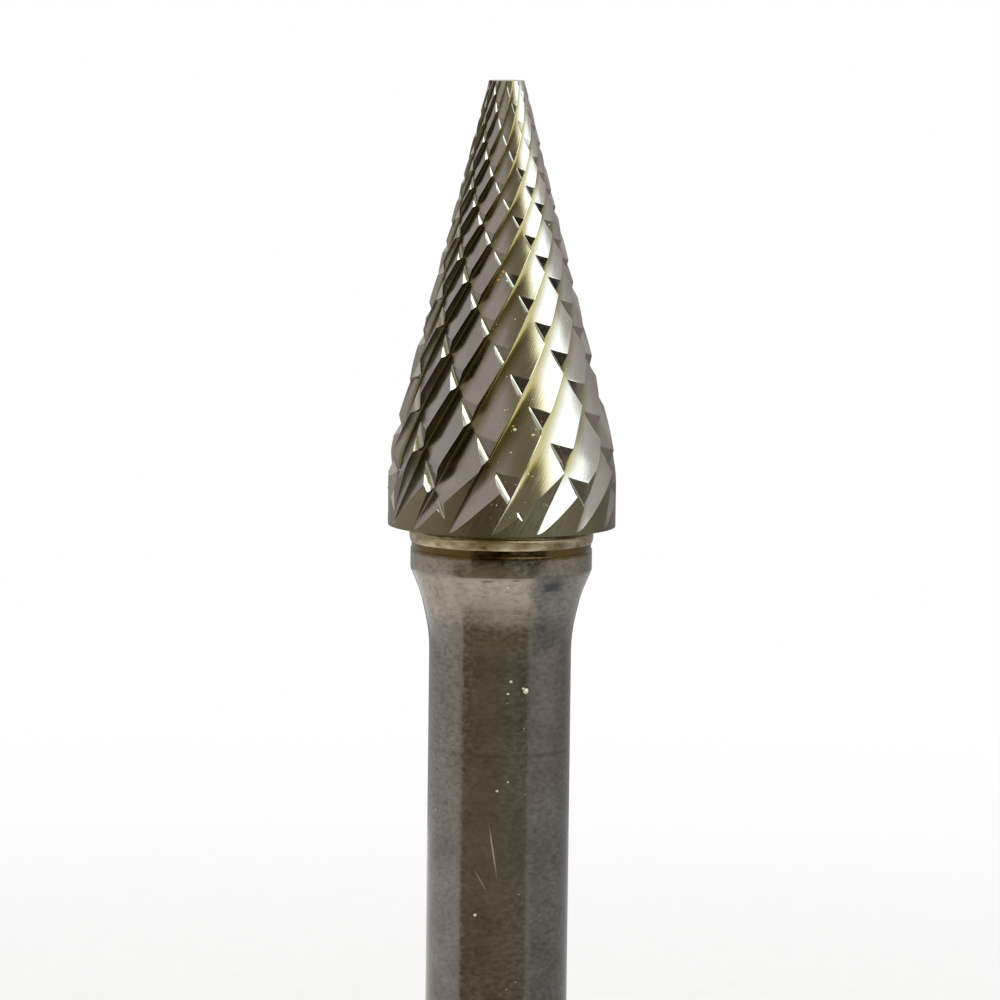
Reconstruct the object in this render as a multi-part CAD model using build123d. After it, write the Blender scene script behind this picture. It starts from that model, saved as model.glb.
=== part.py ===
from build123d import *
import math
import os

# Carbide burr: a double-cut, flat-tipped cone head brazed on a steel shank.
#
# Millimetres, +Z up. The origin is the centre of the shank's end face, and the
# tool's axis is +Z, so the burr stands on its shank end with the head up.
#
# Three pieces: the steel shank, the braze that joins it to the head, and the
# tungsten carbide cutting head.

# --- Driving dimensions -------------------------------------------------------

# Shank: one turned steel piece
SHANK_DIAMETER = 6.0
SHANK_LENGTH = 41.4         # the part that is gripped, from the end to the neck
SHANK_END_CHAMFER = 0.5
NECK_LENGTH = 1.7           # slow flare above the shank
NECK_TOP_DIAMETER = 6.76
SHOULDER_LENGTH = 1.07      # quicker flare up to the collar
COLLAR_DIAMETER = 7.66
COLLAR_LENGTH = 0.85
UNDERCUT_HEIGHT = 0.36      # shallow turned groove between the collar and the braze
UNDERCUT_DEPTH = 0.04

# Braze: a film under the head, and the band that filled the steel's top chamfer
BRAZE_BAND_HEIGHT = 0.62
BRAZE_FILM = 0.15
BRAZE_CHAMFER = 0.38        # width of the steel's top chamfer
BRAZE_FLARE = 0.16          # where the braze runs out under the head

# Cutting head: the blank
HEAD_DIAMETER = 9.6
HEAD_LENGTH = 18.7
HEAD_STRAIGHT = 3.0         # cylinder below the cone
TIP_DIAMETER = 1.5          # flat left at the end of the cone

# Cutting head: right-hand flutes, sized at the full diameter
FLUTE_COUNT = 16
FLUTE_HELIX = 28.8          # degrees from the axis
FLUTE_DEPTH = 0.48
FLUTE_RAKE_SHARE = 0.05     # of the tooth pitch: the steep face under the cutting edge
FLUTE_FLOOR_SHARE = 0.22    # of the tooth pitch: where the floor ends and the relief starts
FLUTE_RUNOUT = 2.7          # height above the base where the flutes reach full depth
FLUTE_AZIMUTH = -29.5       # degrees from -Y: the first cutting edge at the base

# Cutting head: left-hand chip-breaker grooves, sized at the full diameter
BREAKER_COUNT = 9
BREAKER_HELIX = 30.2        # degrees from the axis
BREAKER_DEPTH = 0.37
BREAKER_STEEP_WIDTH = 0.31  # square to the groove, from its root to the steep side's edge
BREAKER_GENTLE_WIDTH = 0.72
BREAKER_RUNOUT_START = 0.6  # height above the base where the grooves begin
BREAKER_RUNOUT_END = 2.4    # and where they reach full depth
BREAKER_AZIMUTH = -25.0     # degrees from -Y: the first groove root at the base

HELIX_STATIONS = 16         # points that carry each helical edge

# --- Heights and radii that follow --------------------------------------------

shank_radius = SHANK_DIAMETER / 2
neck_top_radius = NECK_TOP_DIAMETER / 2
collar_radius = COLLAR_DIAMETER / 2
undercut_radius = collar_radius - UNDERCUT_DEPTH

shoulder_base = SHANK_LENGTH + NECK_LENGTH
collar_base = shoulder_base + SHOULDER_LENGTH
undercut_base = collar_base + COLLAR_LENGTH
braze_base = undercut_base + UNDERCUT_HEIGHT
head_base = braze_base + BRAZE_BAND_HEIGHT
steel_top = head_base - BRAZE_FILM

head_radius = HEAD_DIAMETER / 2
tip_radius = TIP_DIAMETER / 2
cone_slope = (head_radius - tip_radius) / (HEAD_LENGTH - HEAD_STRAIGHT)
cone_sine = math.sin(math.atan(cone_slope))

OVERRUN = 0.25              # how far the cutting solids pass the ends and the skin
EDGE_CLEARANCE = 0.005      # keeps the cutting edges just inside the turned cylinder
BASE_LIFT = FLUTE_DEPTH + 0.025   # raises the flute floors clear of the cylinder at the base


# --- Shank and braze ----------------------------------------------------------

def turned(points):
    """Solid of revolution about the tool's axis from (radius, height) points."""
    outline = Polyline(*[(r, 0, z) for r, z in points], close=True)
    return revolve(Face(Wire(outline.edges())), Axis.Z)


def make_shank():
    return turned([
        (0, 0),
        (shank_radius - SHANK_END_CHAMFER, 0),
        (shank_radius, SHANK_END_CHAMFER),
        (shank_radius, SHANK_LENGTH),
        (neck_top_radius, shoulder_base),
        (collar_radius, collar_base),
        (collar_radius, undercut_base),
        (undercut_radius, undercut_base),
        (undercut_radius, braze_base),
        (undercut_radius - BRAZE_CHAMFER, steel_top),
        (0, steel_top),
    ])


def make_braze():
    return turned([
        (0, steel_top),
        (undercut_radius - BRAZE_CHAMFER, steel_top),
        (undercut_radius, braze_base),
        (collar_radius, braze_base),
        (collar_radius, head_base - BRAZE_FLARE),
        (collar_radius + BRAZE_FLARE, head_base),
        (0, head_base),
    ])


# --- Cutting head -------------------------------------------------------------

def blank_radius(height):
    """Radius of the ground blank at a height above the head's base."""
    return head_radius - max(0.0, height - HEAD_STRAIGHT) * cone_slope


def helix_turn(height, helix):
    """Angle turned, in radians, by a line of constant helix angle from the base."""
    tangent = math.tan(math.radians(helix))
    straight = min(height, HEAD_STRAIGHT) / head_radius
    cone = math.log(head_radius / blank_radius(height)) / cone_sine
    return tangent * (straight + cone)


def helix_heights(helix, bottom, top):
    """Heights from bottom to top that share the turn of the helix out evenly."""
    tangent = math.tan(math.radians(helix))
    first = helix_turn(bottom, helix)
    last = helix_turn(top, helix)
    cone_start = helix_turn(HEAD_STRAIGHT, helix)
    heights = []
    for station in range(HELIX_STATIONS + 1):
        turn = first + (last - first) * station / HELIX_STATIONS
        if turn < cone_start:
            heights.append(turn * head_radius / tangent)
        else:
            radius = head_radius * math.exp(-(turn - cone_start) * cone_sine / tangent)
            heights.append(HEAD_STRAIGHT + (head_radius - radius) / cone_slope)
    return heights


def on_head(radius, azimuth, height):
    """Point at an azimuth in radians, measured from -Y towards +X."""
    return Vector(radius * math.sin(azimuth), -radius * math.cos(azimuth), head_base + height)


def ruled_solid(edges):
    """Solid whose sides are ruled between neighbouring edges, with flat ends."""
    sides = [Face.make_surface_from_curves(a, b) for a, b in zip(edges, edges[1:] + edges[:1])]
    bottom = Face(Wire.make_polygon([edge @ 0 for edge in edges], close=True))
    top = Face(Wire.make_polygon([edge @ 1 for edge in edges], close=True))
    return Solid(Shell(sides + [bottom, top]))


def ramp(height, start, end):
    """0 below start, 1 above end and straight between them."""
    return min(1.0, max(0.0, (height - start) / (end - start)))


def make_fluted_core():
    """Twisted bar with the section of the flutes, which rise out of the blank at the base."""
    pitch = 2 * math.pi / FLUTE_COUNT
    heights = helix_heights(FLUTE_HELIX, -OVERRUN, HEAD_LENGTH)

    def edge(tooth, share, depth):
        points = []
        for height in heights:
            scale = blank_radius(height) / head_radius
            lift = BASE_LIFT * (1 - ramp(height, 0, FLUTE_RUNOUT)) - EDGE_CLEARANCE
            azimuth = helix_turn(height, FLUTE_HELIX) + pitch * (tooth + share)
            azimuth += math.radians(FLUTE_AZIMUTH)
            radius = (head_radius + lift - depth) * scale
            points.append(on_head(radius, azimuth, height))
        return Edge.make_spline(points)

    edges = []
    for tooth in range(FLUTE_COUNT):
        edges.append(edge(tooth, 0, 0))
        edges.append(edge(tooth, FLUTE_RAKE_SHARE, FLUTE_DEPTH))
        edges.append(edge(tooth, FLUTE_FLOOR_SHARE, FLUTE_DEPTH))
    return ruled_solid(edges)


def make_breaker_cutter(groove):
    """Lopsided V that runs up the head against the flutes."""
    pitch = 2 * math.pi / BREAKER_COUNT
    across = head_radius * math.cos(math.radians(BREAKER_HELIX))
    bottom = BREAKER_RUNOUT_START
    heights = helix_heights(BREAKER_HELIX, bottom, HEAD_LENGTH + OVERRUN)

    def edge(width):
        points = []
        for height in heights:
            scale = blank_radius(height) / head_radius
            sunk = BREAKER_DEPTH * ramp(height, bottom, BREAKER_RUNOUT_END)
            reach = (sunk + OVERRUN) / BREAKER_DEPTH
            azimuth = math.radians(BREAKER_AZIMUTH) + pitch * groove
            azimuth += width * reach / across - helix_turn(height, BREAKER_HELIX)
            radius = (head_radius - sunk if width == 0 else head_radius + OVERRUN) * scale
            points.append(on_head(radius, azimuth, height))
        return Edge.make_spline(points)

    return ruled_solid([edge(0), edge(BREAKER_GENTLE_WIDTH), edge(-BREAKER_STEEP_WIDTH)])


def make_cutting_head():
    blank = Cylinder(head_radius, HEAD_LENGTH + OVERRUN, align=(Align.CENTER, Align.CENTER, Align.MIN))
    fluted = Pos(0, 0, head_base) * blank & make_fluted_core()
    return fluted - [make_breaker_cutter(groove) for groove in range(BREAKER_COUNT)]


# --- Output -------------------------------------------------------------------

pieces = {
    "shank": make_shank(),
    "braze_joint": make_braze(),
    "cutting_head": make_cutting_head(),
}

os.makedirs("parts", exist_ok=True)
for name, piece in pieces.items():
    export_step(piece, f"parts/{name}.step")
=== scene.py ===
# %% [markdown]
# # A carbide burr
# A rotary burr is two metals in three pieces. A turned steel shank carries a cone of
# tungsten carbide, and a thin ring of silver braze joins them. The CAD model fixes every
# size. This script gives each piece its finish: sharp ground teeth, a heat-stained joint
# and a satin shank. All lengths are in metres, and the named sizes are in millimetres.

# %% Load the frame
import math
import random

import bmesh
import bpy
import numpy as np
from mathutils import Matrix, Vector


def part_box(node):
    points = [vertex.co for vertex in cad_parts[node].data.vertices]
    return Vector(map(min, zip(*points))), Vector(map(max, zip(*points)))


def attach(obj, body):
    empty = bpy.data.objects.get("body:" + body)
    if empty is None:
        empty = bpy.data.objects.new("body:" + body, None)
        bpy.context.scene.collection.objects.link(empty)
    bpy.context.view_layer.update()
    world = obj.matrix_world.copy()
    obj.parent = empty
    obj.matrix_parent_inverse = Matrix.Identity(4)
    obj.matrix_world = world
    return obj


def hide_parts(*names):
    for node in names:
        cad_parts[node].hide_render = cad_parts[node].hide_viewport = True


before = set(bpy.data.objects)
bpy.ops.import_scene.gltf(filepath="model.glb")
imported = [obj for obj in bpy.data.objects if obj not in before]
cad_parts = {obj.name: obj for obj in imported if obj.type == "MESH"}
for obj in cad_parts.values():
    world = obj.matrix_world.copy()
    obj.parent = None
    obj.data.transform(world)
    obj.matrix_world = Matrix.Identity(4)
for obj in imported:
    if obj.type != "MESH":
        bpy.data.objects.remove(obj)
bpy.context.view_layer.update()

MM = 0.001

# %% [markdown]
# ## Colours and nodes
# Colours are written as the eye reads them, in sRGB hex, and turned to the linear values
# that the renderer works in. One small function adds a shader node, sets it and wires it,
# so that each material below reads as a list of what it is made of.

# %% Colour and node helpers
def linear(code):
    """Linear RGBA from an sRGB hex colour."""
    channels = [int(code[i:i + 2], 16) / 255 for i in (1, 3, 5)]
    return (*[c / 12.92 if c <= 0.04045 else ((c + 0.055) / 1.055) ** 2.4 for c in channels], 1.0)


def add(tree, kind, inputs=None, **settings):
    """Adds a node, sets its properties, and gives each named input a value or a link."""
    made = tree.nodes.new("ShaderNode" + kind)
    for name, value in settings.items():
        setattr(made, name, value)
    for name, value in (inputs or {}).items():
        if isinstance(value, bpy.types.NodeSocket):
            tree.links.new(value, made.inputs[name])
        else:
            made.inputs[name].default_value = value
    return made


def new_material(name):
    """An empty node material and its tree."""
    material = bpy.data.materials.new(name)
    material.use_nodes = True
    material.node_tree.nodes.clear()
    return material, material.node_tree


def ramp(tree, factor, stops):
    """Colour ramp through (position, hex colour) stops."""
    made = add(tree, "ValToRGB", {"Fac": factor})
    elements = made.color_ramp.elements
    elements[0].position, elements[0].color = stops[0][0], linear(stops[0][1])
    elements[1].position, elements[1].color = stops[-1][0], linear(stops[-1][1])
    for position, colour in stops[1:-1]:
        elements.new(position).color = linear(colour)
    return made.outputs["Color"]


print("helpers ready; mid grey is", [round(c, 3) for c in linear("#808080")])

# %% [markdown]
# ## The cutting head: laying out the teeth
# The head is a cone ground with two sets of cuts. Sixteen right-hand flutes leave the
# cutting edges, and nine left-hand grooves notch those edges so that chips break up.
# Each cut keeps a constant angle to the axis, which on a cone gives a spiral that
# tightens towards the tip. Only near the tip does the grinder keep a constant lead, so
# that the teeth there don't crowd. Measured by *turn* (how far the spiral has got, added
# up from the base), every cut becomes a straight line. The teeth are laid out on that flat
# sheet and then rolled on to the cone.

# %% Sizes of the head
head_low, head_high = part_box("cutting_head")
HEAD_BASE = head_low.z / MM
HEAD_LENGTH = (head_high.z - head_low.z) / MM
HEAD_RADIUS = (head_high.x - head_low.x) / 2 / MM
HEAD_STRAIGHT = 3.0
TIP_RADIUS = 0.75

FLUTE_COUNT = 16
FLUTE_HELIX = math.radians(28.8)
FLUTE_DEPTH = 0.48
FLUTE_RUNOUT = 2.7
FLUTE_AZIMUTH = math.radians(-29.5)
BASE_LIFT = FLUTE_DEPTH + 0.025
EDGE_CLEARANCE = 0.005

BREAKER_COUNT = 9
BREAKER_HELIX = math.radians(30.2)
BREAKER_DEPTH = 0.37
BREAKER_GENTLE = BREAKER_DEPTH / 0.72
# Steep wall as planes of (extra depth at the root, slope): hollow, flat low down and
# steeper towards its rim, 0.31 mm away, as the round nose of the wheel leaves it.
BREAKER_STEEP = ((0.0, 0.60), (0.045, 1.05), (0.208, 1.864))
BREAKER_RUNOUT = (0.6, 2.4)
BREAKER_AZIMUTH = math.radians(-25.0)

# Flute section as (share of the pitch, depth): the steep rake face under one cutting edge,
# a rounded gullet, the long relief, and the narrow land behind the next edge.
FLUTE_SECTION = [
    (0.000, 0.005), (0.046, 0.456), (0.058, 0.476), (0.078, 0.480), (0.150, 0.474),
    (0.210, 0.456), (0.280, 0.424), (0.400, 0.360), (0.550, 0.272), (0.700, 0.183),
    (0.850, 0.093), (0.982, 0.012), (1.000, 0.005),
]
RIM_CHAMFER = 0.005         # takes the razor edge off each groove's rim
ROOT_FLAT = 0.012           # the worn tip of the grinding wheel
LEAD_RADIUS = 2.1           # thinner than this, the grinder keeps its lead and not its angle

cone_slope = (HEAD_RADIUS - TIP_RADIUS) / (HEAD_LENGTH - HEAD_STRAIGHT)
cone_sine = math.sin(math.atan(cone_slope))
cone_cosine = math.cos(math.atan(cone_slope))
straight_turn = HEAD_STRAIGHT / HEAD_RADIUS
lead_height = HEAD_STRAIGHT + (HEAD_RADIUS - LEAD_RADIUS) / cone_slope
lead_turn = straight_turn + math.log(HEAD_RADIUS / LEAD_RADIUS) / cone_sine
top_turn = lead_turn + (HEAD_LENGTH - lead_height) / (LEAD_RADIUS * cone_cosine)
print(f"head {HEAD_LENGTH:.2f} mm long and {2 * HEAD_RADIUS:.2f} mm across")
print(f"turn at the tip: {top_turn:.2f}")


# %% From the flat sheet to the cone
def blank_at(turn):
    """(height above the base, radius) of the blank at a turn."""
    if turn <= straight_turn:
        return turn * HEAD_RADIUS, HEAD_RADIUS
    if turn <= lead_turn:
        radius = HEAD_RADIUS * math.exp(-(turn - straight_turn) * cone_sine)
        return HEAD_STRAIGHT + (HEAD_RADIUS - radius) / cone_slope, radius
    height = lead_height + (turn - lead_turn) * LEAD_RADIUS * cone_cosine
    return height, LEAD_RADIUS - (height - lead_height) * cone_slope


def share_below(value, start, end):
    """0 below start, 1 above end and straight between them."""
    return min(1.0, max(0.0, (value - start) / (end - start)))


def azimuth_of(share, turn):
    """Azimuth from -Y of a point a share of the flute pitch past the first edge."""
    return FLUTE_AZIMUTH + share * 2 * math.pi / FLUTE_COUNT + turn * math.tan(FLUTE_HELIX)


def groove_phase(share, turn):
    """How far, in grooves, a point lies past the root of the first groove."""
    swung = azimuth_of(share, turn) - BREAKER_AZIMUTH + turn * math.tan(BREAKER_HELIX)
    return swung * BREAKER_COUNT / (2 * math.pi)


def cuts_at(share, turn, depth, groove):
    """Depths below the blank of the flute and of the walls of one numbered groove."""
    height, _ = blank_at(turn)
    lift = BASE_LIFT * (1 - share_below(height, 0, FLUTE_RUNOUT)) - EDGE_CLEARANCE
    pitch = 2 * math.pi / BREAKER_COUNT * HEAD_RADIUS * math.cos(BREAKER_HELIX)
    across = (groove_phase(share, turn) - groove) * pitch
    sunk = BREAKER_DEPTH * share_below(height, *BREAKER_RUNOUT)
    if height < BREAKER_RUNOUT[0]:
        sunk = height - BREAKER_RUNOUT[0]       # above the skin, where the wheel had left it
    steep = [sunk + extra + slope * across for extra, slope in BREAKER_STEEP]
    return depth - lift, sunk - BREAKER_GENTLE * across, *steep


print("blank radius halfway up the skin:", round(blank_at(top_turn / 2)[1], 2), "mm")

# %% [markdown]
# ## The cutting head: cutting the sheet into facets
# A burr lives by its crisp rims, so they can't be left to a displaced grid, which would
# step along every slanted edge. Nor is a boolean needed: on the flat sheet each wall is a
# straight slope, so the line where two walls meet is found by comparing their depths.
# Each small cell of the sheet is split along those lines, and every facet keeps a note of
# which wheel ground it.

# %% Splitting cells where two walls meet
LAND, FLUTE, EDGE, GENTLE, STEEP, RIM = range(6)
# A corner of a facet is (share, turn) and then the depth of each wall there.
IN_FLUTE, ON_GENTLE, ON_LOW, ON_MIDDLE, ON_HIGH = range(2, 7)
TURN_STEPS = 130            # rows of cells from the base to the tip
NEXT_GROOVE = 0.35          # a cell this far below a groove's root, in pitches, belongs to it


def split(corners, value):
    """Cuts a facet along value = 0 into the part above and the part below."""
    above, below = [], []
    for here, there in zip(corners, corners[1:] + corners[:1]):
        a, b = value(here), value(there)
        (above if a > 0 else below).append(here)
        if (a > 0) != (b > 0):
            if a > b:
                k = a / (a - b)
                crossing = tuple(p + (q - p) * k for p, q in zip(here, there))
            else:
                k = b / (b - a)
                crossing = tuple(q + (p - q) * k for p, q in zip(here, there))
            above.append(crossing)
            below.append(crossing)
    return above, below


def groove_parts(corners):
    """The groove as its gentle wall, its flat root and the planes of its steep wall."""
    gentle, rest = split(corners, lambda c: (c[ON_LOW] - c[ON_GENTLE]) / 2 - ROOT_FLAT)
    rest, root = split(rest, lambda c: (c[ON_GENTLE] - c[ON_LOW]) / 2 - ROOT_FLAT)
    middle, low = split(rest, lambda c: c[ON_LOW] - c[ON_MIDDLE])
    high, middle = split(middle, lambda c: c[ON_MIDDLE] - c[ON_HIGH])
    return (
        (GENTLE, gentle, lambda c: c[ON_GENTLE]),
        (STEEP, root, lambda c: (c[ON_GENTLE] + c[ON_LOW]) / 2 - ROOT_FLAT),
        (STEEP, low, lambda c: c[ON_LOW]),
        (STEEP, middle, lambda c: c[ON_MIDDLE]),
        (STEEP, high, lambda c: c[ON_HIGH]),
    )


def facets_of(corners, flute_kind):
    """(kind, corners, depth rule) of each facet in a cell of the sheet."""
    found = []
    for kind, part, groove in groove_parts(corners):
        if len(part) < 3:
            continue
        fluted, rest = split(part, lambda c: c[IN_FLUTE] - groove(c) - 2 * RIM_CHAMFER)
        grooved, rim = split(rest, lambda c: groove(c) - c[IN_FLUTE] - 2 * RIM_CHAMFER)
        rim_depth = lambda c, g=groove: (c[IN_FLUTE] + g(c)) / 2 + RIM_CHAMFER
        for name, piece, depth in (
            (flute_kind, fluted, lambda c: c[IN_FLUTE]),
            (kind, grooved, groove),
            (RIM, rim, rim_depth),
        ):
            if len(piece) < 3:
                continue
            cut, land = split(piece, depth)
            found.append((name, cut, depth))
            found.append((LAND, land, lambda c: 0.0))
    return [facet for facet in found if len(facet[1]) > 2]


print("facet kinds:", RIM + 1)


# %% Build the head
WELD = 2e-7                 # metres: corners this near are one corner


def head_facets():
    """Every facet of the head as (kind, [(share, turn, depth), ...])."""
    found = []
    step = top_turn / TURN_STEPS
    for tooth in range(FLUTE_COUNT):
        for (s0, d0), (s1, d1) in zip(FLUTE_SECTION, FLUTE_SECTION[1:]):
            kind = EDGE if s1 == 1.0 else FLUTE
            for row in range(TURN_STEPS):
                low, high = row * step, (row + 1) * step
                sheet = ((s0, low, d0), (s1, low, d1), (s1, high, d1), (s0, high, d0))
                middle = groove_phase(tooth + (s0 + s1) / 2, (low + high) / 2)
                groove = math.floor(middle + NEXT_GROOVE)
                corners = [(tooth + s, t, *cuts_at(tooth + s, t, d, groove)) for s, t, d in sheet]
                for name, piece, depth in facets_of(corners, kind):
                    found.append((name, [(c[0], c[1], depth(c)) for c in piece]))
    return found


def build_head(name):
    """The cutting head as one closed mesh, with the grinding direction as its UV."""
    facets = head_facets()
    mesh_maker = bmesh.new()
    kind_of = mesh_maker.faces.layers.int.new("ground_by")
    deep = mesh_maker.verts.layers.float.new("cut_depth")
    grind = mesh_maker.loops.layers.uv.new("grind")
    for kind, corners in facets:
        points = []
        for share, turn, depth in corners:
            height, radius = blank_at(turn)
            reach = (HEAD_RADIUS - depth) * radius / HEAD_RADIUS
            angle = azimuth_of(share, turn)
            place = (reach * math.sin(angle), -reach * math.cos(angle), HEAD_BASE + height)
            point = mesh_maker.verts.new(Vector(place) * MM)
            point[deep] = depth
            points.append(point)
        face = mesh_maker.faces.new(points)
        face[kind_of] = kind
        for loop, (share, turn, depth) in zip(face.loops, corners):
            across = share * 2 * math.pi / FLUTE_COUNT * HEAD_RADIUS
            along = turn * HEAD_RADIUS / math.cos(FLUTE_HELIX)
            if kind in (GENTLE, STEEP):
                swing = math.tan(FLUTE_HELIX) + math.tan(BREAKER_HELIX)
                across += turn * swing * HEAD_RADIUS
            loop[grind].uv = (across, along)
    bmesh.ops.remove_doubles(mesh_maker, verts=mesh_maker.verts, dist=WELD)
    bmesh.ops.dissolve_degenerate(mesh_maker, edges=mesh_maker.edges, dist=WELD)
    rims = [e for e in mesh_maker.edges if e.is_boundary]
    caps = bmesh.ops.holes_fill(mesh_maker, edges=rims, sides=0)["faces"]
    for cap in caps:
        cap[kind_of] = LAND
    bmesh.ops.recalc_face_normals(mesh_maker, faces=mesh_maker.faces)
    for edge in mesh_maker.edges:
        faces = edge.link_faces
        edge.smooth = len(faces) == 2 and faces[0][kind_of] == faces[1][kind_of]
        if len(faces) == 2 and (faces[0] in caps) != (faces[1] in caps):
            edge.smooth = False
    open_edges = sum(len(e.link_faces) != 2 for e in mesh_maker.edges)
    mesh = bpy.data.meshes.new(name)
    for face in mesh_maker.faces:
        face.smooth = True
    mesh_maker.to_mesh(mesh)
    mesh_maker.free()
    head = bpy.data.objects.new(name, mesh)
    bpy.context.collection.objects.link(head)
    triangles = sum(len(p.vertices) - 2 for p in mesh.polygons)
    print(f"{name}: {triangles} triangles, {open_edges} edges not shared by two facets")
    return head


head = build_head("ground_head")
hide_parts("cutting_head")

# %% [markdown]
# ## The shank and the braze
# Both are round, so each is a profile spun about the axis. The turned steel gets tiny
# rounds at its corners, because no lathe leaves a perfect edge and it is there that the
# light catches. The braze was liquid when it was made, so its bead isn't quite round:
# a few slow waves move its surface and its lower edge.

# %% Spin a profile
shank_low, shank_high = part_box("shank")
SHANK_RADIUS = 3.0
END_CHAMFER = 0.5
NECK_BASE = 41.4
NECK_TOP = (3.38, 43.1)
COLLAR_RADIUS = (shank_high.x - shank_low.x) / 2 / MM
COLLAR_BASE = 44.17
COLLAR_TOP = 45.02
UNDERCUT_RADIUS = COLLAR_RADIUS - 0.04
BRAZE_BASE = HEAD_BASE - 0.62
STEEL_TOP = (UNDERCUT_RADIUS - 0.38, HEAD_BASE - 0.15)
SPIN_STEPS = 220            # facets round the axis
SHARP_ANGLE = math.radians(35)


def rounded(points, reaches, steps=6):
    """The profile with each inner corner eased, starting its reach away from the corner."""
    eased = [points[0]]
    for before, here, after, reach in zip(points, points[1:], points[2:], reaches):
        here = Vector(here)
        back, on = Vector(before) - here, Vector(after) - here
        reach = min(reach, 0.45 * back.length, 0.45 * on.length)
        start, end = here + back.normalized() * reach, here + on.normalized() * reach
        for i in range(steps + 1):
            k = i / steps
            eased.append(tuple((1 - k) ** 2 * start + 2 * k * (1 - k) * here + k ** 2 * end))
    return eased + [points[-1]]


def filled(points, longest):
    """The profile with long runs divided, so that slow marks have points to sit on."""
    full = [points[0]]
    for (r0, z0), (r1, z1) in zip(points, points[1:]):
        parts = max(1, math.ceil(math.hypot(r1 - r0, z1 - z0) / longest))
        for i in range(1, parts + 1):
            full.append((r0 + (r1 - r0) * i / parts, z0 + (z1 - z0) * i / parts))
    return full


def spin(name, profile, wave=lambda angle, radius, height: (radius, height)):
    """A closed round solid from a profile of (radius, height) that starts and ends on the axis."""
    mesh_maker = bmesh.new()
    ends = [mesh_maker.verts.new((0, 0, profile[i][1] * MM)) for i in (0, -1)]
    rings = []
    for step in range(SPIN_STEPS):
        angle = 2 * math.pi * step / SPIN_STEPS
        ring = []
        for radius, height in profile[1:-1]:
            r, z = wave(angle, radius, height)
            place = (r * math.sin(angle) * MM, -r * math.cos(angle) * MM, z * MM)
            ring.append(mesh_maker.verts.new(place))
        rings.append(ring)
    for here, there in zip(rings, rings[1:] + rings[:1]):
        mesh_maker.faces.new((ends[0], there[0], here[0]))
        mesh_maker.faces.new((ends[1], here[-1], there[-1]))
        for i in range(len(here) - 1):
            mesh_maker.faces.new((here[i], there[i], there[i + 1], here[i + 1]))
    bmesh.ops.recalc_face_normals(mesh_maker, faces=mesh_maker.faces)
    for face in mesh_maker.faces:
        face.smooth = True
    mesh = bpy.data.meshes.new(name)
    mesh_maker.to_mesh(mesh)
    mesh_maker.free()
    mesh.set_sharp_from_angle(angle=SHARP_ANGLE)
    made = bpy.data.objects.new(name, mesh)
    bpy.context.collection.objects.link(made)
    print(f"{name}: {len(profile)} profile points, {len(mesh.polygons)} faces")
    return made


# %% The turned shank
# The neck runs into the shank in a long easy curve; the other corners are only broken.
shank_corners = [
    (0, 0), (SHANK_RADIUS - END_CHAMFER, 0), (SHANK_RADIUS, END_CHAMFER),
    (SHANK_RADIUS, NECK_BASE), NECK_TOP, (COLLAR_RADIUS, COLLAR_BASE),
    (COLLAR_RADIUS, COLLAR_TOP), (UNDERCUT_RADIUS, COLLAR_TOP), (UNDERCUT_RADIUS, BRAZE_BASE),
    STEEL_TOP, (0, STEEL_TOP[1]),
]
CORNER_REACHES = (0.08, 0.08, 0.75, 0.4, 0.10, 0.03, 0.02, 0.02, 0.02)
shank_profile = rounded(shank_corners, CORNER_REACHES)
shank = spin("turned_shank", filled(shank_profile, longest=0.5))
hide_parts("shank")


# %% The braze bead
# Waves round the bead as (size in mm, number round, phase): outwards, then up and down.
SWELLS = ((0.016, 3, 0.6), (0.012, 8, 2.1), (0.008, 17, 0.0))
RIPPLES = ((0.045, 2, 0.9), (0.03, 5, 2.4))


def waves(table, angle):
    """The sum of a table's waves at an angle round the axis."""
    return sum(size * math.sin(number * angle + phase) for size, number, phase in table)


def bead_wave(angle, radius, height):
    """Moves the bead's skin and its lower edge by a few slow waves."""
    outer = share_below(radius, UNDERCUT_RADIUS - 0.02, UNDERCUT_RADIUS)
    middle = math.sin(math.pi * share_below(height, BRAZE_BASE - 0.1, HEAD_BASE))
    loose = outer * middle
    return radius + loose * waves(SWELLS, angle), height + loose * waves(RIPPLES, angle)


# The bead's skin as (out from the collar, up from the braze's foot).
BEAD_SKIN = [
    (-0.02, -0.10), (0.01, -0.02), (0.03, 0.08), (0.045, 0.20),
    (0.045, 0.30), (0.01, 0.40), (0.035, 0.48), (0.16, 0.62),
]
BEAD_ROUNDING = 0.06
bead_profile = [(0, STEEL_TOP[1]), STEEL_TOP, (UNDERCUT_RADIUS - 0.02, BRAZE_BASE)]
bead_profile += [(COLLAR_RADIUS + out, BRAZE_BASE + up) for out, up in BEAD_SKIN]
bead_profile += [(0, HEAD_BASE)]
bead_profile = rounded(bead_profile, [BEAD_ROUNDING] * len(bead_profile))
braze = spin("braze_bead", bead_profile, bead_wave)
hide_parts("braze_joint")

# %% [markdown]
# ## Stuck grit
# A stored tool collects specks: dried coolant with carbide dust in it. Each is a tiny
# lump that sits in the surface and catches the light, which paint on the surface can't
# do. They are rough balls, flattened, with every point moved at random from a fixed seed.
# A ray from outside finds where the real skin is, teeth and all.

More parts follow.
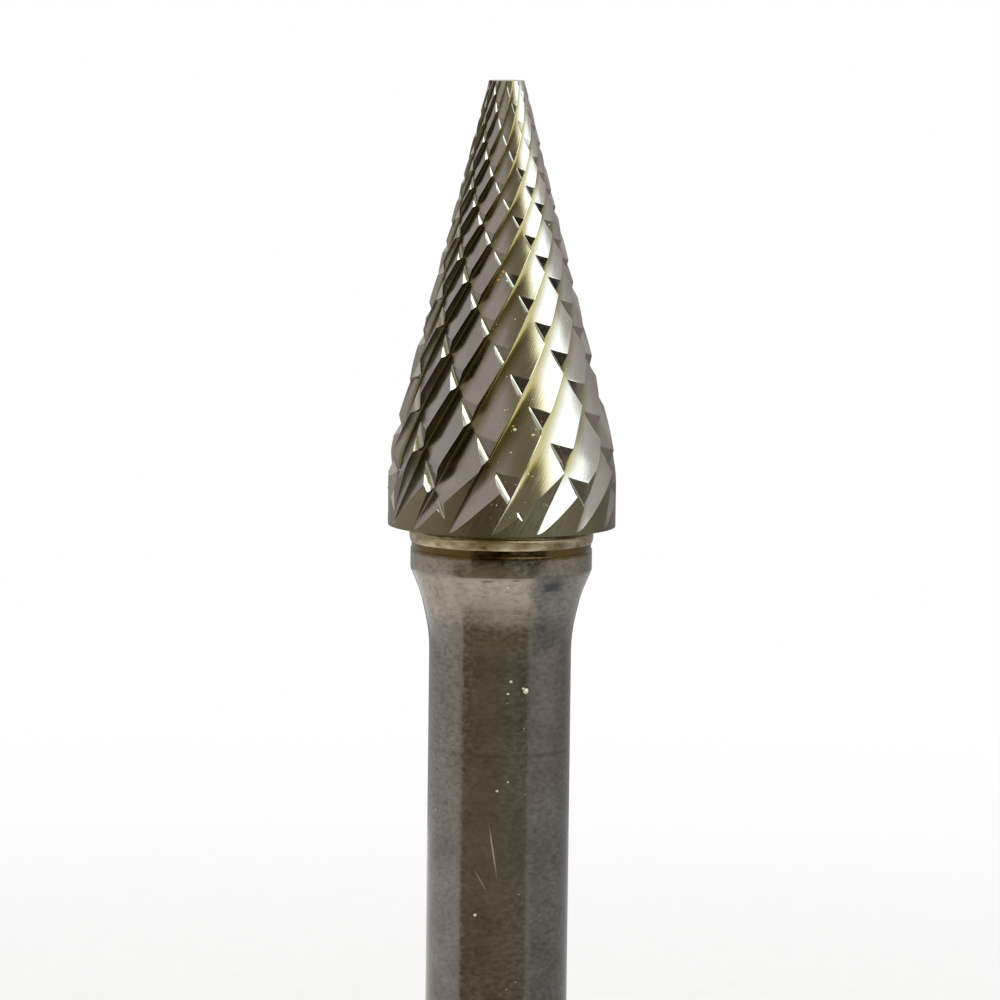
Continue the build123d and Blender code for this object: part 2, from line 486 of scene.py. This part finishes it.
# %% Grit
# (azimuth, height, width) of the larger lumps, gold ones first, then pale ones.
GOLD_GRIT = [
    (-1.5, 56.85, 0.17), (-5.8, 56.52, 0.15), (-3.6, 56.70, 0.10), (4.7, 56.28, 0.10),
    (6.1, 50.55, 0.11),
]
PALE_GRIT = [
    (2.1, 56.49, 0.12), (7.0, 50.42, 0.19), (16.8, 50.22, 0.15), (4.5, 49.49, 0.09),
    (14.3, 48.59, 0.10), (16.4, 48.50, 0.09), (1.2, 51.23, 0.08), (-75.3, 48.38, 0.12),
    (-88.0, 47.54, 0.13), (9.0, 39.72, 0.14), (21.6, 39.32, 0.26), (19.0, 39.42, 0.12),
    (6.7, 39.21, 0.12), (7.6, 35.49, 0.10), (-1.1, 35.11, 0.11), (-17.9, 29.81, 0.15),
    (12.4, 43.89, 0.07), (4.7, 43.76, 0.07),
]
HALF_THE_DUST = 45
RAY_START = 20              # mm from the axis, well outside the burr
FLATTENING = 0.55           # how much of its height a lump keeps once it has dried
dice = random.Random(7)


def dust(azimuths, heights, sizes):
    """Fine grit scattered over a span of azimuths and heights, as (azimuth, height, size)."""
    return [(dice.uniform(*azimuths), dice.uniform(*heights), dice.uniform(*sizes))
            for _ in range(HALF_THE_DUST)]


DUST = dust((-8, 38), (46.8, 56), (0.03, 0.06)) + dust((-180, 180), (26, 62), (0.03, 0.07))


def skin_at(azimuth, z):
    """Point and outward direction where a ray towards the axis meets the head or the shank."""
    a = math.radians(azimuth)
    way = Vector((math.sin(a), -math.cos(a), 0))
    for body in (head, shank):
        found, spot, slope, _ = body.ray_cast(way * RAY_START * MM + Vector((0, 0, z * MM)), -way)
        if found:
            return spot, slope
    return None


def grit_lump(mesh_maker, spot, slope, width, kind):
    """One rough flattened ball, half sunk in the skin."""
    turn = slope.to_track_quat("Z", "Y").to_matrix()
    ball = bmesh.ops.create_icosphere(mesh_maker, subdivisions=2, radius=width / 2 * MM)["verts"]
    stretch = dice.uniform(0.7, 1.0)
    for point in ball:
        rough = point.co * dice.uniform(0.75, 1.1)
        point.co = spot + turn @ Vector((rough.x, rough.y * stretch, rough.z * FLATTENING))
    for face in {f for point in ball for f in point.link_faces}:
        face.material_index = kind
        face.smooth = True


mesh_maker = bmesh.new()
for kind, lumps in enumerate((GOLD_GRIT, PALE_GRIT + DUST)):
    for azimuth, z, width in lumps:
        landed = skin_at(azimuth, z)
        if landed:
            grit_lump(mesh_maker, *landed, width, kind)
grit_mesh = bpy.data.meshes.new("stuck_grit")
mesh_maker.to_mesh(grit_mesh)
mesh_maker.free()
grit = bpy.data.objects.new("stuck_grit", grit_mesh)
bpy.context.collection.objects.link(grit)
print("stuck_grit:", len(grit_mesh.polygons), "triangles")

# %% [markdown]
# ## Ground carbide
# Tungsten carbide is a grey, hard metal-like composite. A diamond wheel ground every wall
# here, and each pass leaves hair-fine lines that run the way the wheel went. They stretch
# the highlights across the cut. Low in each cut the grey is darkened to olive: painted
# shade, tinted olive as a painted reflection. The lines are drawn about 0.05 mm apart,
# coarser than real grit, so that they show.

# %% Carbide material
LINE_SPACING = 0.05
LINE_LENGTH = 1.6
# Dark olive mixed in low in each cut: painted shade, with the olive of a painted reflection.
GULLET_SHADE = "#5a502b"
GULLET_SHADE_DEPTHS = (0.29, 0.46)  # where in a cut the painted shade starts, and where it is darkest
GULLET_SHADE_COVER = 0.85
NO_GULLET_SHADE = (0.9, 1.0)        # deeper than any cut, so no painted shade lies there


def ground_carbide(name, tones, roughness, line_depth, gullet_shade_depths=GULLET_SHADE_DEPTHS):
    """Carbide of one ground wall: its greys, how fine it is, and how deep in the cut its painted
    shade lies.
    """
    material, tree = new_material(name)
    lines = add(tree, "UVMap", uv_map="grind").outputs["UV"]
    stretched = add(tree, "Mapping", {
        "Vector": lines, "Scale": (1 / LINE_SPACING, 1 / LINE_LENGTH, 1.0),
    })
    wheel = add(tree, "TexNoise", {
        "Vector": stretched.outputs["Vector"], "Scale": 1.0, "Detail": 3.0,
    })
    place = add(tree, "TexCoord").outputs["Object"]
    patches = add(tree, "TexNoise", {
        "Vector": place, "Scale": 0.6 / MM, "Detail": 5.0, "Roughness": 0.6,
    })
    grey = ramp(tree, patches.outputs["Fac"], [(0.32, tones[0]), (0.68, tones[1])])
    # Painted shade: the deeper the cut, the more of the dark olive replaces the grey.
    depth = add(tree, "Attribute", attribute_name="cut_depth").outputs["Fac"]
    gullet_shade = add(tree, "MapRange", {
        "Value": depth, "From Min": gullet_shade_depths[0], "From Max": gullet_shade_depths[1],
        "To Max": GULLET_SHADE_COVER,
    })
    colour = add(tree, "Mix", {
        "Factor": gullet_shade.outputs["Result"], "A": grey, "B": linear(GULLET_SHADE),
    }, data_type="RGBA")
    satin = add(tree, "MapRange", {
        "Value": wheel.outputs["Fac"], "From Min": 0.3, "From Max": 0.7,
        "To Min": roughness * 0.8, "To Max": roughness * 1.25,
    })
    bump = add(tree, "Bump", {
        "Strength": line_depth, "Distance": 0.01 * MM, "Height": wheel.outputs["Fac"],
    })
    shader = add(tree, "BsdfPrincipled", {
        "Base Color": colour.outputs["Result"], "Metallic": 1.0,
        "Roughness": satin.outputs["Result"], "Normal": bump.outputs["Normal"],
    })
    add(tree, "OutputMaterial", {"Surface": shader.outputs["BSDF"]})
    return material


head_finishes = {
    # Ground round and never cut: the dullest and darkest skin.
    LAND: ground_carbide("carbide_ground_round", ("#67614b", "#706a54"), 0.30, 0.04, NO_GULLET_SHADE),
    # The flutes' reliefs: silky, so the bright band fades softly into olive.
    FLUTE: ground_carbide("carbide_ground_flute", ("#807a72", "#8b857d"), 0.19, 0.25),
    # The narrow land behind each cutting edge, which glints: its paler grey is partly a painted
    # highlight.
    EDGE: ground_carbide("carbide_cutting_edge_painted_highlight", ("#8f8880", "#9a938a"), 0.18, 0.1),
    # The grooves' gentle walls: the finest cut, so they go crisply from black to grey.
    GENTLE: ground_carbide("carbide_ground_groove", ("#7a746d", "#857e77"), 0.11, 0.3),
    # The grooves' steep walls: a paler grey as a painted highlight, so they show as thin bright
    # blades.
    STEEP: ground_carbide("carbide_groove_wall_painted_highlight", ("#9a968a", "#aaa69a"), 0.18, 0.2),
}
head_finishes[RIM] = head_finishes[FLUTE]
kinds = sorted(head_finishes)
for kind in kinds:
    head.data.materials.append(head_finishes[kind])
ground_by = np.zeros(len(head.data.polygons), np.int32)
head.data.attributes["ground_by"].data.foreach_get("value", ground_by)
head.data.polygons.foreach_set("material_index", ground_by)
print("facets by finish:", {head_finishes[k].name: int((ground_by == k).sum()) for k in kinds})

# %% [markdown]
# ## Satin tool steel
# The shank was turned and then ground between centres, so its marks are fine rings round
# the axis, and they smear a highlight up and down. The flare under the head stayed as
# turned; the torch warmed its colour, and its lighter tone is a painted reflection of the
# pale floor. The collar is mottled, and the groove beside the joint is brown: heat tint
# darkened with painted shade.

# %% Steel material
STAIN_AND_LIGHT_SPAN = (40.0, 46.0)   # heights between which the torch's colours and the painted light and shade lie
STAIN_AND_LIGHT_SHIFT = 0.15          # evens out the ragged edge, which the noise lifts by about this
# The steel's tone by height: shank, flare (lighter as a painted reflection), collar, then the
# groove browned by heat tint and painted shade.
STAIN_AND_LIGHT = [
    (40.2, "#85817a"), (41.9, "#89847c"), (42.5, "#a59e93"), (44.0, "#aaa398"),
    (44.16, "#99938a"), (44.82, "#958e83"), (44.95, "#665434"), (45.6, "#6e5b38"),
]
SCRIBED_RING = 36.57        # a faint line round the shank, where the grinding stopped
RING_STRENGTH = 0.25
# Marks as (x, z, half width, half length, lean in degrees, colour, strength).
MARKS = [
    (2.15, 43.72, 0.75, 0.34, 0, "#4b4e56", 0.8),
    (-0.20, 32.54, 0.045, 1.15, -9, "#d8d4ca", 0.8),
    (-0.72, 31.30, 0.035, 0.50, -30, "#d0ccc2", 0.6),
    (-0.55, 44.02, 0.30, 0.05, 0, "#4a453d", 0.7),
    (0.62, 44.05, 0.22, 0.05, 0, "#4a453d", 0.6),
]


def span_place(height):
    """Where a height falls on the ramp of stain and painted light."""
    return (height - STAIN_AND_LIGHT_SPAN[0]) / (STAIN_AND_LIGHT_SPAN[1] - STAIN_AND_LIGHT_SPAN[0])


def steel_radius(z):
    """Radius of the steel's skin at a height, read from its corners."""
    for (r0, z0), (r1, z1) in zip(shank_corners[1:], shank_corners[2:]):
        if z0 <= z <= z1 and z1 > z0:
            return r0 + (r1 - r0) * (z - z0) / (z1 - z0)
    return SHANK_RADIUS


def satin_steel(name):
    """Turned and ground steel, with the torch's stain and painted light and shade near the joint,
    and a few marks.
    """
    material, tree = new_material(name)
    place = add(tree, "TexCoord").outputs["Object"]
    height = add(tree, "SeparateXYZ", {"Vector": place}).outputs["Z"]
    rings = add(tree, "Mapping", {"Vector": place, "Scale": (0.2 / MM, 0.2 / MM, 14 / MM)})
    turned = add(tree, "TexNoise", {"Vector": rings.outputs["Vector"], "Scale": 1.0, "Detail": 3.0})
    flat = add(tree, "Mapping", {"Vector": place, "Scale": (1.0, 1.0, 1.7)})
    blotch = add(tree, "TexNoise", {
        "Vector": flat.outputs["Vector"], "Scale": 3.6 / MM, "Detail": 5.0, "Roughness": 0.6,
    })
    cloud = add(tree, "TexNoise", {"Vector": place, "Scale": 0.7 / MM, "Detail": 3.0})
    ragged = add(tree, "Math", {
        0: blotch.outputs["Fac"], 1: 0.3 * MM, 2: height,
    }, operation="MULTIPLY_ADD")
    zone = add(tree, "MapRange", {
        "Value": ragged.outputs[0],
        "From Min": (STAIN_AND_LIGHT_SPAN[0] + STAIN_AND_LIGHT_SHIFT) * MM,
        "From Max": (STAIN_AND_LIGHT_SPAN[1] + STAIN_AND_LIGHT_SHIFT) * MM,
    })
    # Tone by height: the flare's lighter band is a painted reflection, and the groove's brown is
    # heat tint with painted shade.
    tone = ramp(tree, zone.outputs["Result"], [
        (span_place(z), colour) for z, colour in STAIN_AND_LIGHT
    ])
    mottle = ramp(tree, blotch.outputs["Fac"], [
        (0.30, "#cecbc7"), (0.52, "#f0efed"), (0.70, "#ffffff"),
    ])
    drift = ramp(tree, cloud.outputs["Fac"], [(0.30, "#e3e1de"), (0.70, "#ffffff")])
    mottled = add(tree, "Mix", {
        "Factor": 1.0, "A": tone, "B": mottle,
    }, data_type="RGBA", blend_type="MULTIPLY")
    drifted = add(tree, "Mix", {
        "Factor": 1.0, "A": mottled.outputs["Result"], "B": drift,
    }, data_type="RGBA", blend_type="MULTIPLY")
    ring = add(tree, "Math", {0: height, 1: SCRIBED_RING * MM, 2: 0.09 * MM}, operation="COMPARE")
    faint = add(tree, "Math", {0: ring.outputs[0], 1: RING_STRENGTH}, operation="MULTIPLY")
    colour = add(tree, "Mix", {
        "Factor": faint.outputs[0], "A": drifted.outputs["Result"], "B": linear("#3c362c"),
    }, data_type="RGBA").outputs["Result"]
    for x, z, wide, long, lean, code, strength in MARKS:
        front = -math.sqrt(steel_radius(z) ** 2 - x ** 2)
        near = add(tree, "Mapping", {
            "Vector": place, "Location": (x * MM, front * MM, z * MM),
            "Rotation": (0, math.radians(lean), 0), "Scale": (wide * MM, 0.6 * MM, long * MM),
        }, vector_type="TEXTURE")
        reach = add(tree, "VectorMath", {0: near.outputs["Vector"]}, operation="LENGTH")
        ragged_reach = add(tree, "Math", {
            0: blotch.outputs["Fac"], 1: 1.0, 2: reach.outputs["Value"],
        }, operation="MULTIPLY_ADD")
        marked = add(tree, "MapRange", {
            "Value": ragged_reach.outputs[0], "From Min": 1.6, "From Max": 0.9, "To Max": strength,
        })
        colour = add(tree, "Mix", {
            "Factor": marked.outputs["Result"], "A": colour, "B": linear(code),
        }, data_type="RGBA").outputs["Result"]
    satin = add(tree, "MapRange", {
        "Value": blotch.outputs["Fac"], "From Min": 0.35, "From Max": 0.65,
        "To Min": 0.10, "To Max": 0.24,
    })
    bump = add(tree, "Bump", {
        "Strength": 0.2, "Distance": 0.003 * MM, "Height": turned.outputs["Fac"],
    })
    shader = add(tree, "BsdfPrincipled", {
        "Base Color": colour, "Metallic": 1.0,
        "Roughness": satin.outputs["Result"], "Normal": bump.outputs["Normal"],
    })
    add(tree, "OutputMaterial", {"Surface": shader.outputs["BSDF"]})
    return material


shank.data.materials.append(satin_steel("steel_turned_satin"))
print("steel on", shank.name)

# %% [markdown]
# ## Silver braze
# Silver braze is a pale yellow alloy. Torch heat and scorched flux leave it gold in places
# and darker brown in others, and its skin freezes slightly wavy. Just under the head it is
# painted dark olive-brown as shadow.

# %% Braze material
def silver_braze(name):
    """Frozen braze: gold low on the bead, and painted shadow where it runs under the head."""
    material, tree = new_material(name)
    place = add(tree, "TexCoord").outputs["Object"]
    height = add(tree, "SeparateXYZ", {"Vector": place}).outputs["Z"]
    flat = add(tree, "Mapping", {"Vector": place, "Scale": (1.0, 1.0, 2.2)})
    flux = add(tree, "TexNoise", {
        "Vector": flat.outputs["Vector"], "Scale": 0.9 / MM, "Detail": 6.0, "Roughness": 0.65,
    })
    gold = ramp(tree, flux.outputs["Fac"], [
        (0.34, "#5f4f36"), (0.46, "#968567"), (0.56, "#b2a486"), (0.66, "#c8bea4"),
    ])
    ragged = add(tree, "Math", {
        0: flux.outputs["Fac"], 1: 0.6 * MM, 2: height,
    }, operation="MULTIPLY_ADD")
    # Painted shadow: the bead turns dark olive-brown towards the head above it.
    under_head_shade = add(tree, "MapRange", {
        "Value": ragged.outputs[0],
        "From Min": (HEAD_BASE - 0.02) * MM, "From Max": (HEAD_BASE + 0.14) * MM,
    })
    colour = add(tree, "Mix", {
        "Factor": under_head_shade.outputs["Result"], "A": gold, "B": linear("#3d3418"),
    }, data_type="RGBA")
    ripple = add(tree, "TexNoise", {"Vector": place, "Scale": 2.4 / MM, "Detail": 2.0})
    bump = add(tree, "Bump", {
        "Strength": 0.35, "Distance": 0.02 * MM, "Height": ripple.outputs["Fac"],
    })
    shader = add(tree, "BsdfPrincipled", {
        "Base Color": colour.outputs["Result"], "Metallic": 1.0, "Roughness": 0.3,
        "Normal": bump.outputs["Normal"],
    })
    add(tree, "OutputMaterial", {"Surface": shader.outputs["BSDF"]})
    return material


braze.data.materials.append(silver_braze("braze_heat_stained"))
print("braze on", braze.name)

# %% [markdown]
# ## Dried coolant
# The grit is dust bound in dried coolant: a resin, not a metal, so its colour is its own
# and its shine is a small plain highlight. The gold lumps are thick resin and the pale
# ones mostly dust.


# %% Grit material
def dried_coolant(name, tones, roughness):
    """Resin with dust in it, in patches a few hundredths of a millimetre wide."""
    material, tree = new_material(name)
    place = add(tree, "TexCoord").outputs["Object"]
    speck = add(tree, "TexNoise", {"Vector": place, "Scale": 14 / MM, "Detail": 3.0})
    colour = ramp(tree, speck.outputs["Fac"], [(0.38, tones[0]), (0.62, tones[1])])
    bump = add(tree, "Bump", {
        "Strength": 0.4, "Distance": 0.01 * MM, "Height": speck.outputs["Fac"],
    })
    shader = add(tree, "BsdfPrincipled", {
        "Base Color": colour, "Roughness": roughness, "Normal": bump.outputs["Normal"],
    })
    add(tree, "OutputMaterial", {"Surface": shader.outputs["BSDF"]})
    return material


for finish in (
    dried_coolant("dried_coolant_gold", ("#8f6410", "#e0aa3c"), 0.25),      # glossy amber
    dried_coolant("dried_coolant_dust", ("#c2bd8a", "#f4f0d8"), 0.35),      # chalky, duller
):
    grit.data.materials.append(finish)
print("grit finishes:", [finish.name for finish in grit.data.materials])

# %% [markdown]
# ## Everything rides on the one body
# The burr has no joints, so all its pieces belong to the root.

# %% Ride
for piece in (head, shank, braze, grit):
    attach(piece, "root")
print("pieces:", [piece.name for piece in (head, shank, braze, grit)])

# %% [markdown]
# ## Camera, floor and light
# A long lens a quarter of a metre away keeps the cone's sides straight. Polished metal
# shows its surroundings more than its own colour, so the studio matters: a soft window of
# light to the right for the bright band on the teeth, a dark flag in front for the
# shank's dark stripe, and a pale floor that lights the flare from below.

# %% Camera
TARGET = Vector((-0.08, 0.0, 47.04)) * MM
CAMERA_DISTANCE = 260 * MM
CAMERA_ELEVATION = math.radians(6.2)
CAMERA_ROLL = math.radians(0.69)
PIXELS_PER_MM = 23.73
FRAME_PIXELS = 1000
SENSOR = 36.0

back = Vector((0, -math.cos(CAMERA_ELEVATION), math.sin(CAMERA_ELEVATION)))
camera_data = bpy.data.cameras.new("camera")
camera_data.sensor_width = SENSOR
camera_data.lens = PIXELS_PER_MM * CAMERA_DISTANCE / MM / FRAME_PIXELS * SENSOR
camera_data.clip_start = 10 * MM
camera = bpy.data.objects.new("camera", camera_data)
camera.location = TARGET + back * CAMERA_DISTANCE
facing = back.to_track_quat("Z", "Y").to_matrix() @ Matrix.Rotation(CAMERA_ROLL, 3, "Z")
camera.rotation_euler = facing.to_euler()
bpy.context.collection.objects.link(camera)
bpy.context.scene.camera = camera
print(f"lens {camera_data.lens:.1f} mm")


# %% Floor
FLOOR_SIZE = 4.0
WHITE_FROM = 60 * MM        # where the paper starts to blend into the white room
WHITE_AT = 260 * MM
PAPER_LIFT = 0.25           # the little light that keeps the paper near white


def seen_ray(tree):
    """1 for camera, mirror and glass rays, so metal shows the white that the camera sees."""
    ray = add(tree, "LightPath").outputs
    mirror = add(tree, "Math", {
        0: ray["Is Glossy Ray"], 1: ray["Is Transmission Ray"],
    }, operation="MAXIMUM")
    return add(tree, "Math", {
        0: ray["Is Camera Ray"], 1: mirror.outputs[0],
    }, operation="MAXIMUM").outputs[0]


def paper_floor():
    """Pale paper that keeps the burr's shadow and blends into a white room further out."""
    material, tree = new_material("pale_paper")
    place = add(tree, "TexCoord").outputs["Object"]
    reach = add(tree, "VectorMath", {0: place}, operation="LENGTH").outputs["Value"]
    far = add(tree, "MapRange", {
        "Value": reach, "From Min": WHITE_FROM, "From Max": WHITE_AT,
    }, interpolation_type="SMOOTHSTEP")
    grain = add(tree, "TexNoise", {"Vector": place, "Scale": 0.5 / MM, "Detail": 2.0})
    tone = ramp(tree, grain.outputs["Fac"], [(0.3, "#ededeb"), (0.7, "#f3f3f1")])
    paper = add(tree, "BsdfDiffuse", {"Color": tone})
    lift = add(tree, "Emission", {"Strength": PAPER_LIFT})
    lifted = add(tree, "AddShader", {0: paper.outputs["BSDF"], 1: lift.outputs["Emission"]})
    white = add(tree, "Emission", {"Strength": 1.0})
    shown = add(tree, "MixShader", {
        0: far.outputs["Result"], 1: lifted.outputs["Shader"], 2: white.outputs["Emission"],
    })
    both = add(tree, "MixShader", {
        0: seen_ray(tree), 1: paper.outputs["BSDF"], 2: shown.outputs["Shader"],
    })
    add(tree, "OutputMaterial", {"Surface": both.outputs["Shader"]})
    return material


bpy.ops.mesh.primitive_plane_add(size=FLOOR_SIZE, location=(0, 0, 0))
floor = bpy.context.object
floor.name = "floor"
floor.data.materials.append(paper_floor())
print("floor", FLOOR_SIZE, "m wide")

# %% [markdown]
# ## What the metal sees
# A product photographer surrounds polished metal with cards and lets it mirror them. The
# same cards stand here, and only mirror rays see them, so they shape the metal and leave
# the floor's plain light alone. Most cards are patches of a sphere round the head, given
# by the azimuths and elevations that they cover, and two more lie on the floor as mats.

# %% Reflection cards
CARD_STEPS = 16
CARD_ROWS = 4
HEAD_MIDDLE = Vector((0, 0, HEAD_BASE * MM))
MAT_LIFT = 0.2 * MM
# Distances of the cards from the head, in metres: those in front, the walls, the lights.
NEAR, WALL, FAR = 0.20, 0.21, 0.30
FOOT = -12.9                # elevation where an upright card meets the floor
SHELF = -6.1                # elevation where the low cards end and the level ones start


def on_sphere(azimuth, elevation, distance):
    """Point at an azimuth from -Y towards +X round the head, in degrees and metres."""
    a, e = math.radians(azimuth), math.radians(elevation)
    way = Vector((math.sin(a) * math.cos(e), -math.cos(a) * math.cos(e), math.sin(e)))
    return HEAD_MIDDLE + way * distance


def spread(ends, steps):
    """Evenly spaced values from one end to the other."""
    return [ends[0] + (ends[1] - ends[0]) * i / steps for i in range(steps + 1)]


def mirror_only(name, grid, colours, levels, way):
    """Card from rows of points, for mirror rays only.

    Its colours and its brightness change along its rows (way X) or across them (way Y).
    """
    mesh_maker = bmesh.new()
    shade = mesh_maker.loops.layers.uv.new("shade")
    rows = [[mesh_maker.verts.new(point) for point in row] for row in grid]
    last = len(rows) - 1
    for r in range(last):
        for i in range(CARD_STEPS):
            corners = ((r, i), (r, i + 1), (r + 1, i + 1), (r + 1, i))
            face = mesh_maker.faces.new([rows[row][k] for row, k in corners])
            for loop, (row, k) in zip(face.loops, corners):
                loop[shade].uv = (k / CARD_STEPS, row / last)
    mesh = bpy.data.meshes.new(name)
    mesh_maker.to_mesh(mesh)
    mesh_maker.free()
    card = bpy.data.objects.new(name, mesh)
    bpy.context.collection.objects.link(card)
    material, tree = new_material(name + "_face")
    shaded = add(tree, "UVMap", uv_map="shade").outputs["UV"]
    across = add(tree, "SeparateXYZ", {"Vector": shaded}).outputs[way]
    tone = ramp(tree, across, colours)
    level = add(tree, "MapRange", {"Value": across, "To Min": levels[0], "To Max": levels[1]})
    face_light = add(tree, "Emission", {"Color": tone, "Strength": level.outputs["Result"]})
    add(tree, "OutputMaterial", {"Surface": face_light.outputs["Emission"]})
    mesh.materials.append(material)
    card.visible_camera = card.visible_diffuse = card.visible_shadow = False
    print("card", name)


def sphere_card(name, azimuths, elevations, distance, colours, levels=(1.0, 1.0)):
    """A card that covers a span of azimuths and elevations, shaded from left to right."""
    turns = spread(azimuths, CARD_STEPS)
    rows = [[on_sphere(a, rise, distance) for a in turns] for rise in spread(elevations, CARD_ROWS)]
    mirror_only(name, rows, colours, levels, "X")


def floor_card(name, azimuths, reaches, colours, way):
    """A mat that lies on the floor between two reaches from the axis, in metres."""
    turns = [math.radians(a) for a in spread(azimuths, CARD_STEPS)]
    rows = [[Vector((math.sin(a) * reach, -math.cos(a) * reach, MAT_LIFT)) for a in turns]
            for reach in spread(reaches, CARD_ROWS)]
    mirror_only(name, rows, colours, (1.0, 1.0), way)


# Low down, a brown card and a brown mat give the shank its dark stripe, and the mat's pale
# near edge lights the flare. A grey mat cools the flare's right side.
BROWN = [(0.0, "#978c74"), (0.4, "#aaa18c"), (0.75, "#a9a593"), (1.0, "#999987")]
sphere_card("brown_card", (-62, 47), (FOOT, SHELF), NEAR, BROWN)
BROWN_MAT = [(0.0, "#ece9e4"), (0.13, "#a6a08a"), (1.0, "#a6a08a")]
floor_card("brown_mat", (-62, 47), (0.066, 0.195), BROWN_MAT, "Y")
GREY_MAT = [(0.0, "#e2e1df"), (0.09, "#b4b8bd"), (1.0, "#c4c5c6")]
floor_card("grey_mat", (47, 178), (0.030, 0.205), GREY_MAT, "X")

# Level with the head a deep card blackens the groove walls. Above it stand a dim card and
# then the window, whose yellow edge fades the teeth's bright band into olive.
DEEP = [(0.0, "#6b6a5e"), (0.15, "#30342a"), (1.0, "#30342a")]
sphere_card("deep_card", (-38, 58), (SHELF, 5), NEAR, DEEP)
DIM = [(0.0, "#e2e0d6"), (0.26, "#bcb998"), (0.75, "#a3a27a"), (1.0, "#8f8e66")]
sphere_card("dim_card", (-38, 7), (5, 62), NEAR, DIM)
WINDOW = [
    (0.0, "#5c5a34"), (0.10, "#eeebac"), (0.18, "#e6f5ff"), (0.90, "#e6f5ff"), (1.0, "#bfcdd0"),
]
sphere_card("window_card", (7, 66), (5, 68), FAR, WINDOW, (6.0, 6.0))
SIDE = [(0.0, "#f6f7f8"), (1.0, "#eef0f2")]
sphere_card("side_card", (66, 130), (10, 66), FAR, SIDE, (1.8, 0.8))

# Pale walls on both sides give the shank its grey flanks, darker towards its edges.
LEFT = [(0.0, "#868b8a"), (0.30, "#cfcecb"), (0.6, "#f2f0ed"), (1.0, "#e4e2de")]
sphere_card("left_wall", (-178, -62), (FOOT, 13), WALL, LEFT)
LEFT_GAP = [(0.0, "#e4e1dc"), (1.0, "#d8d5cc")]
sphere_card("left_gap", (-62, -38), (SHELF, 13), WALL, LEFT_GAP)
RIGHT = [(0.0, "#d4d2ce"), (0.35, "#d8d6d2"), (0.62, "#a9aaa6"), (1.0, "#9ea3a2")]
sphere_card("right_wall", (47, 178), (FOOT, SHELF), WALL, RIGHT)
sphere_card("right_gap", (58, 178), (SHELF, 10), WALL, RIGHT)


# %% Lamps
LAMP_DISTANCE = 0.45
LAMP_SIZE = 0.30


def softbox(name, azimuth, elevation, radiance):
    """A plain soft area lamp that faces the head; radiance 1 is as bright as white paper."""
    lamp = bpy.data.lights.new(name, "AREA")
    lamp.shape = "RECTANGLE"
    lamp.size, lamp.size_y = LAMP_SIZE, LAMP_SIZE
    lamp.energy = radiance * math.pi * LAMP_SIZE * LAMP_SIZE
    made = bpy.data.objects.new(name, lamp)
    made.location = on_sphere(azimuth, elevation, LAMP_DISTANCE)
    made.rotation_euler = (made.location - HEAD_MIDDLE).to_track_quat("Z", "Y").to_euler()
    made.visible_glossy = False
    bpy.context.collection.objects.link(made)
    print(f"{name}: {lamp.energy:.2f} W")


softbox("soft_right", 40, 48, 3.0)
softbox("soft_left", -65, 40, 1.2)

# %% World
# White to the camera and to mirror rays. Diffuse surfaces get less of it, because the
# lamps make up the rest.
WORLD_FILL = 0.5
world = bpy.data.worlds.new("studio")
bpy.context.scene.world = world
world.use_nodes = True
sky = world.node_tree
sky.nodes.clear()
fill = add(sky, "MapRange", {"Value": seen_ray(sky), "To Min": WORLD_FILL, "To Max": 1.0})
light = add(sky, "Background", {"Color": linear("#ffffff"), "Strength": fill.outputs["Result"]})
add(sky, "OutputWorld", {"Surface": light.outputs["Background"]})
bpy.context.scene.view_settings.view_transform = "Standard"
print("studio ready")
